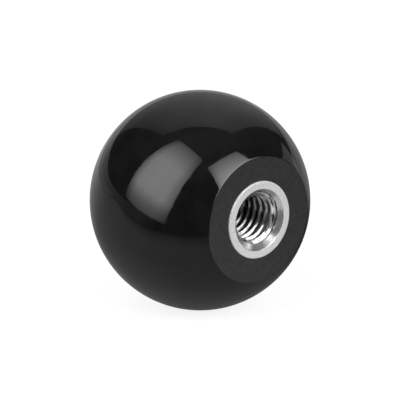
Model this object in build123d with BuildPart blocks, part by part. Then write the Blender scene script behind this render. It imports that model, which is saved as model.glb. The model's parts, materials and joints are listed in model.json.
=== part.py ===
"""Ball knob, 32 mm, with a moulded-in steel bush threaded M8.

The knob lies on its side. The thread axis is horizontal, along Y, and the mouth of the
thread faces -Y. The origin is the centre of the bush's seat face, where a lever's shoulder
meets it. Lengths are in millimetres.
"""

import os
from math import asin, degrees, radians, sqrt, tan

from build123d import *

# Ball
ball_diameter = 32.0
flat_cut = 3.0
flat_rim_break = 0.2

# Threaded bush: its visible end
bush_diameter = 11.4
bush_proud = 0.2
bush_edge_break = 0.15
mouth_diameter = 9.1
mouth_angle = 90.0

# Threaded bush: M8 x 1.25 at its minor diameter, blind, with a drilled end
thread_minor_diameter = 6.647
bore_depth = 14.0
drill_point_angle = 118.0
end_wall = 1.6

# Threaded bush: what holds it in the moulding
collar_length = 2.4
knurl_length = 8.0
knurl_count = 24
knurl_depth = 0.55
knurl_angle = 90.0
groove_width = 2.4
groove_depth = 0.8

# How far a cutting shape reaches past the surface it cuts
cut_overrun = 0.3

# Sizes that follow
ball_radius = ball_diameter / 2
flat_to_centre = ball_radius - flat_cut
flat_radius = sqrt(ball_radius**2 - flat_to_centre**2)
rim_angle = degrees(asin(flat_to_centre / ball_radius))
bush_radius = bush_diameter / 2
bore_radius = thread_minor_diameter / 2
drill_point = bore_radius / tan(radians(drill_point_angle / 2))
bush_length = bore_depth + drill_point + end_wall
groove_start = collar_length + knurl_length
groove_end = groove_start + groove_width
groove_radius = bush_radius - groove_depth

# The seat face is at y = 0 and everything else is measured back from it
flat_y = bush_proud
centre_y = flat_y + flat_to_centre
crown_y = centre_y + ball_radius
seat_plane = Plane.XZ


def plane_behind_seat(distance):
    """A plane parallel to the seat face, this far into the knob, facing out of its mouth."""
    return seat_plane.offset(-distance)


# Outside of the bush: a plain collar, a knurled band, a groove and a tail ring
with BuildPart() as bush_blank:
    with BuildSketch(Plane.XY):
        with BuildLine():
            Polyline(
                (0, 0),
                (bush_radius, 0),
                (bush_radius, groove_start),
                (groove_radius, groove_start),
                (groove_radius, groove_end),
                (bush_radius, groove_end),
                (bush_radius, bush_length),
                (0, bush_length),
                close=True,
            )
        make_face()
    revolve(axis=Axis.Y)
    seat_edge = bush_blank.faces().sort_by(Axis.Y)[0].edges()
    chamfer(seat_edge, bush_edge_break)

    # Straight knurl: one V groove, repeated round the bush from the collar to the groove
    half_width = (knurl_depth + cut_overrun) * tan(radians(knurl_angle / 2))
    with BuildSketch(plane_behind_seat(collar_length)):
        with PolarLocations(bush_radius, knurl_count):
            Polygon(
                (-knurl_depth, 0),
                (cut_overrun, -half_width),
                (cut_overrun, half_width),
                align=None,
            )
    extrude(amount=-knurl_length, mode=Mode.SUBTRACT)

# Threaded bush: the blank with its countersunk blind bore
with BuildPart() as threaded_bush:
    add(bush_blank.part)
    with Locations(seat_plane):
        CounterSinkHole(
            radius=bore_radius,
            counter_sink_radius=mouth_diameter / 2,
            depth=bore_depth,
            counter_sink_angle=mouth_angle,
        )
    with Locations(plane_behind_seat(bore_depth)):
        Cone(
            bottom_radius=0,
            top_radius=bore_radius,
            height=drill_point,
            align=(Align.CENTER, Align.CENTER, Align.MAX),
            mode=Mode.SUBTRACT,
        )

# Ball: cut off flat at the mouth, with its rim broken, and moulded solid round the bush
with BuildPart() as ball:
    with BuildSketch(Plane.XY) as ball_profile:
        with BuildLine():
            Line((0, flat_y), (flat_radius, flat_y))
            CenterArc((0, centre_y), ball_radius, -rim_angle, rim_angle + 90)
            Line((0, crown_y), (0, flat_y))
        make_face()
        flat_rim = ball_profile.vertices().sort_by(Axis.X)[-1]
        chamfer(flat_rim, flat_rim_break)
    revolve(axis=Axis.Y)
    add(bush_blank.part, mode=Mode.SUBTRACT)

ball.part.label = "ball"
threaded_bush.part.label = "threaded_bush"

os.makedirs("parts", exist_ok=True)
export_step(ball.part, "parts/ball.step")
export_step(threaded_bush.part, "parts/threaded_bush.step")
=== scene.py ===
"""Looks of the ball knob: a glossy black ball, moulded round a bright threaded bush.

Everything is in metres, in the part's own frame: the thread axis lies along Y, its mouth
faces -Y, the origin is the centre of the bush's seat face and +Z is up.
"""

import json
from functools import reduce
from math import acos, asin, cos, pi, radians, sin, sqrt, tan

import bmesh
import bpy
from mathutils import Matrix, Vector


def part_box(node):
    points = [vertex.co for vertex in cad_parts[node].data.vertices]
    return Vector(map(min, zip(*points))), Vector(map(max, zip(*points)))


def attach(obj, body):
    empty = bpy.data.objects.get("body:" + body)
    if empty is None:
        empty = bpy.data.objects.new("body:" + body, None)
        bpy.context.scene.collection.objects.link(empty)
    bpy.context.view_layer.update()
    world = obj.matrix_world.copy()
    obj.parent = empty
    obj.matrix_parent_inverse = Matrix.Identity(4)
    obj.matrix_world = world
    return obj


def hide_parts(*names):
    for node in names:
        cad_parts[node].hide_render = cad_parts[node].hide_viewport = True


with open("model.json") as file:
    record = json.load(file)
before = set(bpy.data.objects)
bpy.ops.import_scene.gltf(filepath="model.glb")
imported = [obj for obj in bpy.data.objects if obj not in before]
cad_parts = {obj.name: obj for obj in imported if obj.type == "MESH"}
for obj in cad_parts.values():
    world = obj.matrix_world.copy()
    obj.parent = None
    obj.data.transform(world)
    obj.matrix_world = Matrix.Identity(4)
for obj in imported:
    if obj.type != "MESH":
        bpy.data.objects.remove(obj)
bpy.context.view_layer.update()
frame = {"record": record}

MM = 0.001
UP = Vector((0, 0, 1))
WHITE = (1, 1, 1, 1)


# Sizes, from the frame

ball_low, ball_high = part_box("ball")
bush_low, bush_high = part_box("threaded_bush")
thread_mount = next(m for m in frame["record"]["mounts"] if m["name"] == "thread")

ball_radius = (ball_high[0] - ball_low[0]) / 2
flat_y = ball_low[1]
crown_y = ball_high[1]
centre_y = crown_y - ball_radius
ball_centre = Vector((0, centre_y, 0))
floor_z = ball_low[2]
bush_radius = (bush_high[0] - bush_low[0]) / 2
bush_length = bush_high[1]
bore_radius = thread_mount["dims"]["r_mm"] * MM
bore_start = thread_mount["pos_m"][1]
bore_end = bore_start + thread_mount["dims"]["length_mm"] * MM
mouth_radius = bore_radius + bore_start

# The bush's hidden outside, as the solid has it
collar_end = 2.4 * MM
knurl_end = 10.4 * MM
groove_end = 12.8 * MM
groove_radius = bush_radius - 0.8 * MM
knurl_count = 24
knurl_depth = 0.55 * MM
knurl_half_angle = radians(45)
drill_half_angle = radians(59)

# Broken edges
flat_rim_round = 0.35 * MM
ball_hole_round = 0.06 * MM
bush_edge_round = 0.16 * MM
mouth_edge_land = 0.06 * MM
mouth_half_angle = radians(45)

# Thread, M8 x 1.25 right-hand: its crests are a share of the pitch, and so is its start
thread_pitch = 1.25 * MM
thread_root_radius = 4.08 * MM
thread_half_angle = radians(30)
thread_crest = 0.25
thread_start = 0.64
thread_full_to = 11.6 * MM
thread_gone_at = 13.2 * MM
thread_spare_turns = 4

# How finely the meshes are divided
knurl_steps = 6
tooth_steps = 3
ball_steps = 130
edge_steps = 6
flat_steps = 6
hole_edge_steps = 4
mouth_edge_steps = 5
face_steps = 4
root_steps = 2
flank_steps = 6
crest_steps = 3

# Points nearer than this are joined, and edges shorter than this are taken out
weld_distance = 0.0004 * MM
sliver_length = 0.0002 * MM

# Faces that meet at more than this angle keep a sharp edge
ball_sharp_above = radians(40)
bush_sharp_above = radians(25)


# Columns: the angles round the axis at which every mesh has its lines

def knurl_radius(angle):
    """Distance of a V groove's wall from the axis, at this angle from the groove's middle."""
    tip = bush_radius - knurl_depth
    return min(bush_radius, tip / (cos(angle) - abs(sin(angle)) / tan(knurl_half_angle)))


def knurl_half_width():
    """The angle from a V groove's middle to where its wall reaches the outside."""
    tip = bush_radius - knurl_depth
    return acos(tip * sin(knurl_half_angle) / bush_radius) - (pi / 2 - knurl_half_angle)


def columns():
    """Pairs of the angle round the axis and the angle from the nearest V groove's middle."""
    pitch = 2 * pi / knurl_count
    half = knurl_half_width()
    tooth = pitch - 2 * half
    steps = [-half + 2 * half * i / knurl_steps for i in range(knurl_steps)]
    steps += [half + tooth * i / tooth_steps for i in range(tooth_steps)]
    return [(n * pitch + step, step) for n in range(knurl_count) for step in steps]


COLUMNS = columns()


# Rows: what a mesh has at each column, as (distance from the axis, y)

def ring(radius, y):
    return [(radius, y)] * len(COLUMNS)


def knurled_ring(y):
    return [(knurl_radius(step), y) for _, step in COLUMNS]


def arc(centre, radius, start, end, steps):
    """Rings along an arc of the profile; its angles are measured from pointing outwards."""
    angles = [start + (end - start) * i / steps for i in range(steps + 1)]
    return [ring(centre[0] + radius * cos(a), centre[1] + radius * sin(a)) for a in angles]


def hidden_outside():
    """Rings of the bush's outside from the foot of its collar to the centre of its tail."""
    return [
        ring(bush_radius, collar_end),
        knurled_ring(collar_end),
        knurled_ring(knurl_end),
        ring(groove_radius, knurl_end),
        ring(groove_radius, groove_end),
        ring(bush_radius, groove_end),
        ring(bush_radius, bush_length),
        ring(0, bush_length),
    ]


def ball_rows():
    """The ball's skin, from the centre of the crown round to the flat and into its hole."""
    drop = centre_y - flat_y - flat_rim_round
    reach = ball_radius - flat_rim_round
    rim_centre = (sqrt(reach**2 - drop**2), flat_y + flat_rim_round)
    rim_angle = -asin(drop / reach)
    rows = arc((0, centre_y), ball_radius, pi / 2, rim_angle, ball_steps)
    rows += arc(rim_centre, flat_rim_round, rim_angle, -pi / 2, edge_steps)[1:]
    hole_edge = bush_radius + ball_hole_round
    flat_width = rim_centre[0] - hole_edge
    for i in range(flat_steps - 1, 0, -1):
        rows.append(ring(hole_edge + flat_width * i / flat_steps, flat_y))
    hole_centre = (hole_edge, flat_y + ball_hole_round)
    rows += arc(hole_centre, ball_hole_round, -pi / 2, -pi, hole_edge_steps)
    return rows + hidden_outside()


def bush_rows():
    """The bush's face and outside, from its mouth's edge to the centre of its tail."""
    edge_round = mouth_edge_land / tan(mouth_half_angle / 2)
    face_inner = mouth_radius + mouth_edge_land
    face_outer = bush_radius - bush_edge_round
    face_width = face_outer - face_inner
    edge_centre = (face_inner, edge_round)
    rows = arc(edge_centre, edge_round, -pi / 2 - mouth_half_angle, -pi / 2, mouth_edge_steps)
    rows += [ring(face_inner + face_width * i / face_steps, 0) for i in range(1, face_steps)]
    rows += arc((face_outer, bush_edge_round), bush_edge_round, -pi / 2, 0, edge_steps)
    return rows + hidden_outside()


def thread_profile():
    """One turn's form along the axis, as (share of the pitch, radius), root first."""
    depth = thread_root_radius - bore_radius
    flank = depth * tan(thread_half_angle) / thread_pitch
    root = 1 - thread_crest - 2 * flank
    stretches = [
        (root, root_steps, thread_root_radius, thread_root_radius),
        (flank, flank_steps, thread_root_radius, bore_radius),
        (thread_crest, crest_steps, bore_radius, bore_radius),
        (flank, flank_steps, bore_radius, thread_root_radius),
    ]
    points = []
    start = 0.0
    for width, steps, radius_from, radius_to in stretches:
        for i in range(steps):
            painted_glow = i / steps
            points.append((start + width * painted_glow, radius_from + (radius_to - radius_from) * painted_glow))
        start += width
    return points


def thread_rows():
    """The threaded bore: rows that climb with the helix, cut off by the countersink."""
    profile = thread_profile()
    cone_start = mouth_edge_land * sin(mouth_half_angle)
    last_turn = int(bore_end / thread_pitch) + thread_spare_turns
    rows = []
    for turn in range(-1, last_turn):
        for painted_glow, radius in profile:
            row = []
            for angle, _ in COLUMNS:
                y = thread_pitch * (turn + painted_glow + thread_start - angle / (2 * pi))
                y = min(max(y, cone_start), bore_end)
                depth_left = (thread_gone_at - y) / (thread_gone_at - thread_full_to)
                depth_left = min(max(depth_left, 0), 1)
                threaded = bore_radius + (radius - bore_radius) * depth_left
                row.append((max(threaded, mouth_radius - y), y))
            rows.append(row)
    return rows, len(profile)


def drill_rows():
    """The drilled end of the bore, from its wall to its point."""
    return [ring(bore_radius, bore_end), ring(0, bore_end + bore_radius / tan(drill_half_angle))]


# Meshes

def add_rows(mesh, rows, rows_a_turn=0):
    """Adds a band of faces through these rows. On a helix the seam joins rows a turn apart."""
    grid = []
    for row in rows:
        line = []
        for (angle, _), (radius, y) in zip(COLUMNS, row):
            line.append(mesh.verts.new((radius * cos(angle), y, radius * sin(angle))))
        grid.append(line)
    last = len(rows) - 1
    for j in range(last):
        for i in range(len(COLUMNS)):
            wraps = i + 1 == len(COLUMNS)
            k = 0 if wraps else i + 1
            low = max(j - rows_a_turn, 0) if wraps else j
            high = max(j + 1 - rows_a_turn, 0) if wraps else j + 1
            corners = dict.fromkeys((grid[j][i], grid[low][k], grid[high][k], grid[j + 1][i]))
            if len(corners) > 2:
                mesh.faces.new(tuple(corners))


def add_object(name, data):
    made = bpy.data.objects.new(name, data)
    bpy.context.scene.collection.objects.link(made)
    return made


def piece_from(name, bands, sharp_above):
    """A closed piece from bands of rows that meet edge to edge."""
    mesh = bmesh.new()
    for band in bands:
        add_rows(mesh, *band)
    bmesh.ops.remove_doubles(mesh, verts=mesh.verts, dist=weld_distance)
    bmesh.ops.dissolve_degenerate(mesh, edges=mesh.edges, dist=sliver_length)
    bmesh.ops.recalc_face_normals(mesh, faces=mesh.faces)
    data = bpy.data.meshes.new(name)
    mesh.to_mesh(data)
    mesh.free()
    data.shade_smooth()
    data.set_sharp_from_angle(angle=sharp_above)
    return add_object(name, data)


# Node helpers

class Nodes:
    """A node tree with short ways to add a node and to link it."""

    # A mix node's first and second input and its output, for numbers and for colours
    mix_ports = {"FLOAT": (2, 3, 0), "RGBA": (6, 7, 2)}

    def __init__(self, tree):
        self.tree = tree
        tree.nodes.clear()

    def add(self, kind, inputs=None, **settings):
        """A new node. An input is a value, or the output of another node to link to."""
        node = self.tree.nodes.new(kind)
        for key, value in settings.items():
            setattr(node, key, value)
        for key, value in (inputs or {}).items():
            if isinstance(value, bpy.types.NodeSocket):
                self.tree.links.new(value, node.inputs[key])
            else:
                node.inputs[key].default_value = value
        return node

    def maths(self, operation, *values):
        inputs = dict(enumerate(values))
        return self.add("ShaderNodeMath", inputs, operation=operation).outputs[0]

    def total(self, *values):
        return reduce(lambda first, second: self.maths("ADD", first, second), values)

    def product(self, *values):
        return reduce(lambda first, second: self.maths("MULTIPLY", first, second), values)

    def highest(self, *values):
        return reduce(lambda first, second: self.maths("MAXIMUM", first, second), values)

    def parts(self, vector):
        """The x, y and z of a vector."""
        return self.add("ShaderNodeSeparateXYZ", {"Vector": vector}).outputs

    def along(self, place, way):
        """How far a place lies along a direction."""
        inputs = {0: place, 1: way}
        return self.add("ShaderNodeVectorMath", inputs, operation="DOT_PRODUCT").outputs["Value"]

    def distance(self, place, centre):
        inputs = {0: place, 1: centre}
        return self.add("ShaderNodeVectorMath", inputs, operation="DISTANCE").outputs["Value"]

    def noise(self, vector, scale, detail):
        inputs = {"Vector": vector, "Scale": scale, "Detail": detail}
        return self.add("ShaderNodeTexNoise", inputs).outputs[0]

    def span(self, factor, levels, reach=(0.0, 1.0)):
        """A number that goes through these levels while the factor goes through its reach."""
        inputs = {"Value": factor, "From Min": reach[0], "From Max": reach[1]}
        inputs.update({"To Min": levels[0], "To Max": levels[1]})
        return self.add("ShaderNodeMapRange", inputs).outputs[0]

    def blend(self, factor, first, second, kind="FLOAT"):
        """The first value where the factor is 0 and the second where it is 1."""
        first_port, second_port, out_port = self.mix_ports[kind]
        inputs = {0: factor, first_port: first, second_port: second}
        return self.add("ShaderNodeMix", inputs, data_type=kind).outputs[out_port]

    def ramp(self, factor, stops):
        """A colour that runs through these stops, pairs of a place and a colour."""
        node = self.add("ShaderNodeValToRGB", {"Fac": factor})
        elements = node.color_ramp.elements
        while len(elements) < len(stops):
            elements.new(0.5)
        for element, (place, colour) in zip(elements, stops):
            element.position = place
            element.color = (*colour, 1)
        return node.outputs[0]

    def grey(self, level):
        """A number as a neutral grey."""
        return self.ramp(level, greys((0.0, 0.0), (1.0, 1.0)))

    def bump(self, height, strength, distance):
        """A normal that follows this height."""
        inputs = {"Height": height, "Strength": strength, "Distance": distance}
        return self.add("ShaderNodeBump", inputs).outputs[0]

    def glow(self, strength):
        """White light of this strength."""
        inputs = {"Color": WHITE, "Strength": strength}
        return self.add("ShaderNodeEmission", inputs).outputs[0]

    def rays(self):
        """1 on rays from the camera, and 1 on rays that a shiny or clear surface sends on."""
        path = self.add("ShaderNodeLightPath").outputs
        return path["Is Camera Ray"], self.total(path["Is Glossy Ray"], path["Is Transmission Ray"])


def greys(*stops):
    """Ramp stops in neutral grey, from pairs of a place and a level."""
    return [(place, (level, level, level)) for place, level in stops]


def material(name):
    made = bpy.data.materials.new(name)
    made.use_nodes = True
    nodes = Nodes(made.node_tree)
    place = nodes.add("ShaderNodeTexCoord").outputs["Object"]
    return made, nodes, place


def finish_material(nodes, looks):
    """Ends a material in one surface with these looks."""
    surface = nodes.add("ShaderNodeBsdfPrincipled", looks)
    nodes.add("ShaderNodeOutputMaterial", {"Surface": surface.outputs[0]})


# Looks of the moulding, the gloss and the matte flat

noise_reach = (0.35, 0.65)
gloss_tones = [(0.35, (0.0034, 0.0034, 0.0037)), (0.65, (0.0071, 0.0070, 0.0072))]
gloss_haze = (0.025, 0.085)
gloss_index = 1.63
matt_tones = [(0.4, (0.0105, 0.0105, 0.0108)), (0.6, (0.0190, 0.0190, 0.0194))]
matt_haze = (0.50, 0.62)
matt_index = 1.55

# The flat is where the ball's faces lie this near to it and look out of the mouth
flat_tolerance = 0.02 * MM
flat_facing = -0.99


def gloss_moulding():
    """Black thermosetting plastic as it leaves a polished mould."""
    made, nodes, place = material("gloss_moulding")
    colour = nodes.ramp(nodes.noise(place, scale=260, detail=4), gloss_tones)
    haze = nodes.span(nodes.noise(place, scale=900, detail=4), gloss_haze, reach=noise_reach)
    peel = nodes.noise(place, scale=900, detail=3)
    normal = nodes.bump(peel, strength=0.2, distance=0.02 * MM)
    looks = {"Base Color": colour, "Roughness": haze, "IOR": gloss_index, "Normal": normal}
    finish_material(nodes, looks)
    return made


def matt_moulding():
    """The same plastic on the flat, with a fine even grain."""
    made, nodes, place = material("matt_moulding")
    colour = nodes.ramp(nodes.noise(place, scale=1800, detail=5), matt_tones)
    haze = nodes.span(nodes.noise(place, scale=1500, detail=2), matt_haze)
    grain = nodes.noise(place, scale=5000, detail=4)
    normal = nodes.bump(grain, strength=0.4, distance=0.03 * MM)
    looks = {"Base Color": colour, "Roughness": haze, "IOR": matt_index, "Normal": normal}
    finish_material(nodes, looks)
    return made


# Looks of the steel

cone_reach = (0.02 * MM, 0.08 * MM)
cone_tones = greys((0.38, 0.40), (0.62, 0.88))
cone_metal = 0.72
cone_haze = (0.10, 0.20)
face_tones = greys((0.38, 0.80), (0.62, 0.98))
face_metal = 0.4
face_haze = (0.42, 0.58)
grit_share = 0.4

# The thread: its tool marks drift by this length in a turn, and are darker near the mouth
thread_metal = 0.6
thread_haze = (0.05, 0.17)
mark_drift = 4 * MM
mark_reach = (0.38, 0.56)
mark_darkest = (0.03, 0.22)
mark_darkest_reach = (1.5 * MM, 4.5 * MM)
mark_lightest = 0.92

# Its painted shade: darker towards the roots, and darker the deeper it lies in the bore
painted_root_shade = (1.0, 0.14)
painted_root_shade_reach = (thread_root_radius - 0.36 * MM, thread_root_radius - 0.06 * MM)
painted_depth_shade = (1.0, 0.42)
painted_depth_shade_reach = (1.5 * MM, 5.5 * MM)


def helix_marks(nodes, place, radius):
    """Noise that is drawn out along the helix."""
    x, y, z = nodes.parts(place)
    turn = nodes.maths("DIVIDE", nodes.maths("ARCTAN2", z, x), 2 * pi)
    climb = nodes.total(y, nodes.product(turn, thread_pitch))
    drift = nodes.product(turn, mark_drift)
    unrolled = nodes.add("ShaderNodeCombineXYZ", {"X": climb, "Y": radius, "Z": drift})
    return nodes.noise(unrolled.outputs[0], scale=4500, detail=3)


def thread_tone(nodes, y, radius, marks):
    """Bright flanks with darker marks, and painted shade that is darkest in the deep roots."""
    darkest = nodes.span(y, mark_darkest, reach=mark_darkest_reach)
    clean = nodes.span(marks, (darkest, mark_lightest), reach=mark_reach)
    # Painted shade in the thread's roots and deeper in the bore
    root_painted_shade = nodes.span(radius, painted_root_shade, reach=painted_root_shade_reach)
    depth_painted_shade = nodes.span(y, painted_depth_shade, reach=painted_depth_shade_reach)
    return nodes.grey(nodes.product(clean, root_painted_shade, depth_painted_shade))


def bright_steel():
    """Plated steel: a grainy ring, a turned countersink, and a thread with tool marks."""
    made, nodes, place = material("bright_steel")
    x, y, z = nodes.parts(place)
    radius = nodes.maths("SQRT", nodes.total(nodes.product(x, x), nodes.product(z, z)))
    off_cone = nodes.maths("SUBTRACT", nodes.total(radius, y), mouth_radius)
    on_cone = nodes.span(off_cone, (1.0, 0.0), reach=cone_reach)
    on_face = nodes.span(radius, (0.0, 1.0), reach=(mouth_radius, mouth_radius + mouth_edge_land))

    def by_region(thread, cone, face, kind="FLOAT"):
        """The thread's value, with the countersink's and the ring's in their places."""
        return nodes.blend(on_face, nodes.blend(on_cone, thread, cone, kind), face, kind)

    grit = nodes.noise(place, scale=4000, detail=4)
    rings = nodes.add("ShaderNodeCombineXYZ", {"X": nodes.maths("SUBTRACT", radius, y)}).outputs[0]
    turning = nodes.noise(rings, scale=25000, detail=3)
    grooves = nodes.noise(rings, scale=4000, detail=4)
    marks = helix_marks(nodes, place, radius)
    # The thread's colour carries painted shade in its roots and its deep turns
    thread_colour = thread_tone(nodes, y, radius, marks)
    cone_colour = nodes.ramp(nodes.blend(grit_share, grooves, grit), cone_tones)
    colour = by_region(thread_colour, cone_colour, nodes.ramp(grit, face_tones), "RGBA")
    metal = by_region(thread_metal, cone_metal, face_metal)
    haze = by_region(
        nodes.span(marks, thread_haze, reach=noise_reach),
        nodes.span(grit, cone_haze),
        nodes.span(turning, face_haze),
    )
    faced = nodes.blend(grit_share, turning, grit)
    relief = nodes.blend(nodes.highest(on_face, on_cone), marks, faced)
    normal = nodes.bump(relief, strength=0.5, distance=0.015 * MM)
    looks = {"Base Color": colour, "Metallic": metal, "Roughness": haze, "Normal": normal}
    finish_material(nodes, looks)
    return made


# Pieces

def build_ball():
    ball = piece_from("black_ball", [(ball_rows(),)], ball_sharp_above)
    ball.data.materials.append(gloss_moulding())
    ball.data.materials.append(matt_moulding())
    for face in ball.data.polygons:
        near_flat = abs(face.center.y - flat_y) < flat_tolerance
        face.material_index = 1 if near_flat and face.normal.y < flat_facing else 0
    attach(ball, "root")
    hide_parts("ball")


def build_bush():
    rows, rows_a_turn = thread_rows()
    bands = [(bush_rows(),), (rows, rows_a_turn), (drill_rows(),)]
    bush = piece_from("steel_bush", bands, bush_sharp_above)
    bush.data.materials.append(bright_steel())
    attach(bush, "root")
    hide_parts("threaded_bush")


# Camera

camera_azimuth = radians(-40.2)
camera_elevation = radians(16.5)
camera_distance = 45 * ball_radius
camera_reach = (0.01, 50)
ball_radius_px = 110.46
image_px = 400
sensor_width = 36.0


def direction(azimuth, elevation):
    """The way from the knob to something at this azimuth from -Y and this elevation."""
    level = cos(elevation)
    return Vector((sin(azimuth) * level, -cos(azimuth) * level, sin(elevation)))


def build_camera():
    """A long lens, aimed at the ball's centre, that gives the ball its radius in pixels."""
    data = bpy.data.cameras.new("camera")
    focal_px = ball_radius_px * sqrt((camera_distance / ball_radius) ** 2 - 1)
    data.sensor_width = sensor_width
    data.lens = focal_px * sensor_width / image_px
    data.clip_start, data.clip_end = camera_reach
    camera = add_object("camera", data)
    back = direction(camera_azimuth, camera_elevation)
    camera.location = ball_centre + back * camera_distance
    camera.rotation_euler = back.to_track_quat("Z", "Y").to_euler()
    bpy.context.scene.camera = camera


# Lights: panels that the ball mirrors, dimmer towards their edges

def build_panel(name, centre, facing, roll, size, radiance):
    """A light panel of this brightness, in which white is 1, placed from the ball's centre."""
    width, height = size
    data = bpy.data.lights.new(name, "AREA")
    data.shape = "RECTANGLE"
    data.size = width
    data.size_y = height
    data.energy = radiance * pi * width * height
    lamp = add_object(name, data)
    upright = Vector(facing).to_track_quat("-Z", "Y").to_matrix().to_4x4()
    turn = Matrix.Rotation(roll, 4, "Z")
    lamp.matrix_world = Matrix.Translation(ball_centre + Vector(centre)) @ upright @ turn
    lamp.visible_camera = False
    return data


def build_low_panel(name, azimuth, top, bottom, distance, width, radiance, roll=0.0):
    """A dim upright panel between these two elevations."""
    rise = distance * tan(top)
    drop = distance * tan(bottom)
    outward = direction(azimuth, 0)
    centre = outward * distance + UP * (rise + drop) / 2
    return build_panel(name, centre, -outward, roll, (width, rise - drop), radiance)


def soft_edges(lamp, sides, ends):
    """Dims a panel from side to side and from end to end by these greys."""
    lamp.use_nodes = True
    nodes = Nodes(lamp.node_tree)
    across, upward, _ = nodes.parts(nodes.add("ShaderNodeNewGeometry").outputs["Parametric"])
    strength = nodes.product(nodes.ramp(across, sides), nodes.ramp(upward, ends))
    nodes.add("ShaderNodeOutputLight", {"Surface": nodes.glow(strength)})


def build_key():
    """The large panel at the left."""
    key = build_panel(
        "key",
        centre=(-0.379, -0.001, 0.365),
        facing=(0.955, 0.105, -0.277),
        roll=radians(-18),
        size=(0.495, 0.84),
        radiance=2.95,
    )
    sides = greys((0.0, 0.3), (0.2, 0.9), (0.5, 1.0), (0.8, 0.95), (1.0, 0.45))
    low_end = [(0.0, 0.2), (0.1, 0.42), (0.21, 0.96), (0.3, 1.0)]
    high_end = [(0.55, 1.0), (0.75, 0.6), (1.0, 0.22)]
    soft_edges(key, sides, greys(*low_end, *high_end))


def build_front():
    """The panel before the mouth, whose reflection the flat cuts off."""
    front = build_panel(
        "front",
        centre=(0.073, -0.353, 0.276),
        facing=(0.016, 0.999, -0.036),
        roll=radians(15.5),
        size=(0.41, 0.48),
        radiance=4.5,
    )
    sides = greys((0.0, 0.45), (0.12, 0.9), (0.3, 1.0), (0.6, 0.93), (0.9, 0.78), (1.0, 0.6))
    ends = greys((0.0, 0.2), (0.15, 0.9), (0.35, 1.0), (0.5, 0.9), (0.75, 0.56), (1.0, 0.28))
    soft_edges(front, sides, ends)


def build_rear():
    """The wide dim panel above and behind."""
    rear = build_panel(
        "rear",
        centre=(0.216, 0.235, 0.363),
        facing=(-0.427, -0.641, -0.638),
        roll=radians(-8),
        size=(0.68, 0.72),
        radiance=0.38,
    )
    sides = greys((0.0, 0.48), (0.3, 0.95), (0.45, 1.0), (0.75, 0.7), (1.0, 0.28))
    ends = greys((0.0, 0.68), (0.3, 0.97), (0.5, 1.0), (0.85, 0.92), (1.0, 0.7))
    soft_edges(rear, sides, ends)


def build_back():
    """The low panel behind, along the horizon."""
    back = build_low_panel(
        "back",
        azimuth=radians(146),
        top=radians(9.5),
        bottom=radians(-1),
        distance=0.9,
        width=2.4,
        radiance=0.37,
    )
    sides = greys((0.0, 0.55), (0.3, 0.95), (0.65, 1.0), (0.75, 0.65), (1.0, 0.55))
    soft_edges(back, sides, greys((0.0, 1.0), (1.0, 1.0)))


def build_left():
    """The low panel at the left, which reaches below the horizon."""
    left = build_low_panel(
        "left",
        azimuth=radians(236),
        top=radians(2.3),
        bottom=radians(-16),
        distance=0.9,
        width=1.38,
        radiance=0.19,
        roll=radians(-6),
    )
    sides = greys((0.0, 1.0), (0.33, 0.75), (0.5, 0.5), (0.66, 0.45), (0.82, 0.3), (1.0, 0.08))
    soft_edges(left, sides, greys((0.0, 1.0), (1.0, 1.0)))


def build_side():
    """The small even panel at the right."""
    build_low_panel(
        "side",
        azimuth=radians(80),
        top=radians(17.5),
        bottom=radians(-2.3),
        distance=0.4,
        width=0.23,
        radiance=0.26,
    )


def build_lights():
    for build in (build_key, build_front, build_rear, build_back, build_left, build_side):
        build()


# World: how bright the room is upwards, and what every mirrored ray gets besides

room_levels = (0.03, 0.10)
room_reach = (0.5, 1.0)
room_mirrored = 0.01


def build_world():
    """White behind everything for the camera, and a dim room for everything else."""
    world = bpy.data.worlds.new("studio")
    bpy.context.scene.world = world
    world.use_nodes = True
    nodes = Nodes(world.node_tree)
    from_camera, mirrored = nodes.rays()
    upward = nodes.parts(nodes.add("ShaderNodeTexCoord").outputs["Generated"])["Z"]
    room = nodes.span(upward, room_levels, reach=room_reach)
    dim = nodes.total(room, nodes.product(mirrored, room_mirrored))
    strength = nodes.highest(from_camera, dim)
    sky = nodes.add("ShaderNodeBackground", {"Color": WHITE, "Strength": strength})
    nodes.add("ShaderNodeOutputWorld", {"Surface": sky.outputs[0]})


# Floor: its size, and how far ahead of the ball's centre its light part ends

floor_size = 3.0
table_azimuth = radians(-50)
table_fade = (0.033, 0.056)
table_shade = (0.02, 0.32)

# To the camera: this white near the knob, where its shadow shows, and full white further off
floor_white = 0.85
floor_fade = (0.08, 0.40)

# To rays that the knob mirrors the floor glows with painted light and painted shade: levels, each
# with the distances over which it changes
painted_behind_levels = (0.0, 0.38)
painted_behind_reach = (0.0, -0.15)
painted_left_levels = (0.5, 1.0)
painted_left_reach = (-0.30, -0.11)
painted_under_levels = (0.10, 0.0)
painted_under_reach = (0.016, 0.038)
painted_aside_shade = (1.05, 0.63)
painted_aside_shade_reach = (-0.02, 0.015)
least_painted_glow = 0.035

# A painted shadow, seen only in the knob's mirror image, where the knob's own shadow falls away
# from the key
painted_shadow_centre = Vector((0.037, centre_y + 0.004, floor_z))
painted_shadow_levels = (0.12, 1.0)
painted_shadow_reach = (0.008, 0.035)

# A painted pool of light before the mouth, seen only in mirror images, which ends at one side and
# ahead
painted_spot_centre = Vector((0, -0.025, floor_z))
painted_spot_levels = (0.65, 0.0)
painted_spot_reach = (0.012, 0.03)
painted_spot_azimuth = radians(55)
painted_spot_side = (0.006, 0.012)
painted_spot_end = (0.038, 0.048)

# A painted strip of light, seen only in mirror images, that leads ahead from below the mouth
painted_strip_level = 0.62
painted_strip_start = (0.008, 0.014)
painted_strip_end = (0.032, 0.039)
painted_strip_near_side = (0.0018, 0.0026)
painted_strip_far_side = (0.0045, 0.009)


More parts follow.
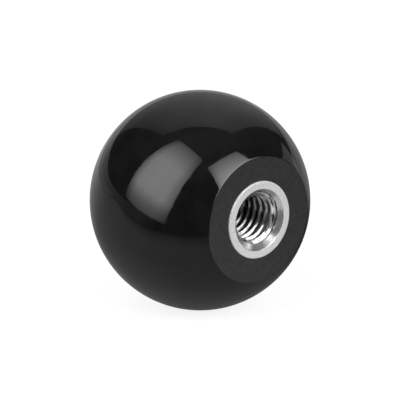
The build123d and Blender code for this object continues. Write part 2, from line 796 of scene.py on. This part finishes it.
def painted_light_spot(nodes, place, ahead):
    """How bright the painted pool of light is at a place."""
    beside = nodes.along(place, direction(painted_spot_azimuth, 0))
    return nodes.product(
        nodes.span(nodes.distance(place, painted_spot_centre), painted_spot_levels, reach=painted_spot_reach),
        nodes.span(beside, (0.0, 1.0), reach=painted_spot_side),
        nodes.span(ahead, (1.0, 0.0), reach=painted_spot_end),
    )


def painted_light_strip(nodes, ahead, aside):
    """How bright the painted strip of light is at a place."""
    return nodes.product(
        nodes.span(ahead, (painted_strip_level, 0.0), reach=painted_strip_end),
        nodes.span(ahead, (0.0, 1.0), reach=painted_strip_start),
        nodes.span(aside, (0.0, 1.0), reach=painted_strip_near_side),
        nodes.span(aside, (1.0, 0.0), reach=painted_strip_far_side),
    )


def floor_material():
    """Pale and even to the camera, with painted light and painted shadow in the glow and shade that
    the knob mirrors.
    """
    made, nodes, place = material("floor")
    front = direction(table_azimuth, 0)
    ahead = nodes.maths("SUBTRACT", nodes.along(place, front), ball_centre.dot(front))
    aside = nodes.along(place, UP.cross(front))
    gap = nodes.distance(place, ball_centre)
    lit = nodes.span(ahead, (1.0, 0.0), reach=table_fade)

    unlit_white = nodes.span(lit, (1.0, floor_white))
    far_white = nodes.span(gap, (floor_white, 1.0), reach=floor_fade)
    white = nodes.highest(unlit_white, far_white)

    # Painted shadow behind the knob and painted shade, darker towards the right, for mirrored rays
    # only
    off_painted_shadow = nodes.distance(place, painted_shadow_centre)
    painted_shadow = nodes.span(off_painted_shadow, painted_shadow_levels, reach=painted_shadow_reach)
    painted_dimmer = nodes.product(painted_shadow, nodes.span(aside, painted_aside_shade, reach=painted_aside_shade_reach))
    # The glow that mirrored rays see is painted light: brighter behind, to the left and under the
    # knob, plus the painted spot and strip
    painted_table_glow = nodes.product(
        lit,
        nodes.span(ahead, painted_behind_levels, reach=painted_behind_reach),
        nodes.span(aside, painted_left_levels, reach=painted_left_reach),
    )
    painted_table_glow = nodes.total(painted_table_glow, nodes.span(gap, painted_under_levels, reach=painted_under_reach))
    painted_table_glow = nodes.total(nodes.product(painted_table_glow, painted_dimmer), painted_light_spot(nodes, place, ahead))
    painted_glow = nodes.highest(painted_table_glow, painted_light_strip(nodes, ahead, aside), least_painted_glow)

    from_camera, mirrored = nodes.rays()
    strength = nodes.total(nodes.product(from_camera, white), nodes.product(mirrored, painted_glow))
    # Mirrored rays see the floor's diffuse shade dimmed by the same painted shadow and painted side
    # shade
    shade = nodes.product(nodes.span(lit, table_shade), nodes.blend(mirrored, 1.0, painted_dimmer))
    cloth = nodes.add("ShaderNodeBsdfDiffuse", {"Color": nodes.grey(shade)})
    both = nodes.add("ShaderNodeAddShader", {0: cloth.outputs[0], 1: nodes.glow(strength)})
    nodes.add("ShaderNodeOutputMaterial", {"Surface": both.outputs[0]})
    return made


def build_floor():
    """A pale floor. Its light part ends just before the knob, where the room is dark."""
    front = direction(table_azimuth, 0)
    side = UP.cross(front) * floor_size
    near = Vector((0, centre_y, floor_z)) + front * table_fade[1]
    far = near - front * floor_size
    data = bpy.data.meshes.new("floor")
    data.from_pydata([near + side, near - side, far - side, far + side], [], [(0, 1, 2, 3)])
    data.materials.append(floor_material())
    add_object("floor", data)


build_camera()
build_ball()
build_bush()
build_lights()
build_world()
build_floor()
bpy.context.scene.view_settings.view_transform = "Standard"
